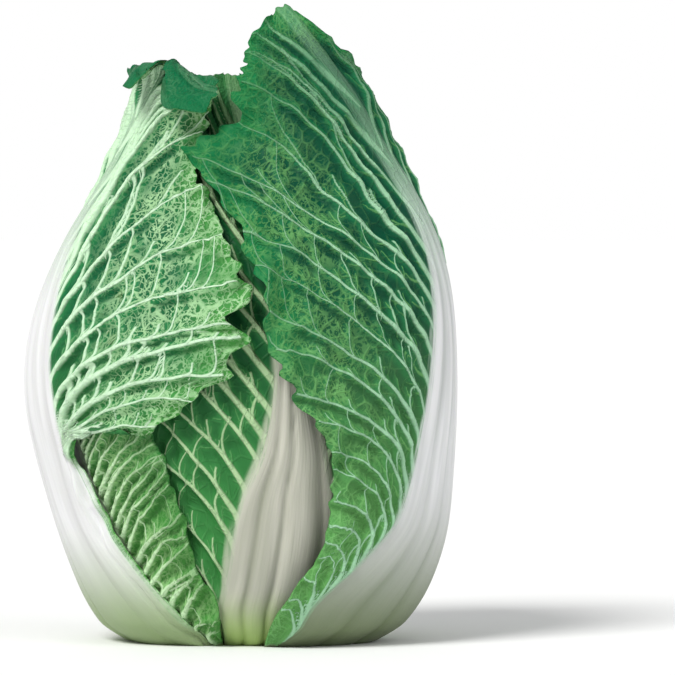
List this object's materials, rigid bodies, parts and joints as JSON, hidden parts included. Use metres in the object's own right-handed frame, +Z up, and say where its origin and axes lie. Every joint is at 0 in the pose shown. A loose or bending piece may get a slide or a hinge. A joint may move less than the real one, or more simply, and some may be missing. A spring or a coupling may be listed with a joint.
{
  "type": "napa cabbage",
  "caption": "Whole oblong cabbage head of overlapping crinkled leaves with broad pale ribs, standing on its level cut base.",
  "frame": {"origin": "centre of the cut face of the stem, on the surface that the head stands on", "axes": "+Z up through the head, -Y the front, where the two large side leaves meet, +X the head's right side"},
  "size_m": [0.2047, 0.2039, 0.3005],
  "materials": {
    "outer_leaf": "crinkled green leaf with pale raised veins and a white rib",
    "middle_leaf": "lighter green leaf with a white rib",
    "inner_leaf": "pale yellow-green young leaf",
    "heart_leaf": "packed yellow young leaves",
    "stem": "moist off-white cut stem"
  },
  "bodies": {
    "root": {"stem": "stem", "heart": "heart_leaf", "leaf_right": "outer_leaf", "leaf_left": "outer_leaf", "leaf_front_left": "outer_leaf", "leaf_front": "outer_leaf", "leaf_back": "outer_leaf", "leaf_back_left": "middle_leaf", "leaf_back_right": "middle_leaf", "young_leaf_1": "inner_leaf", "young_leaf_2": "inner_leaf", "young_leaf_3": "inner_leaf", "young_leaf_4": "inner_leaf"}
  },
  "joints": []
}
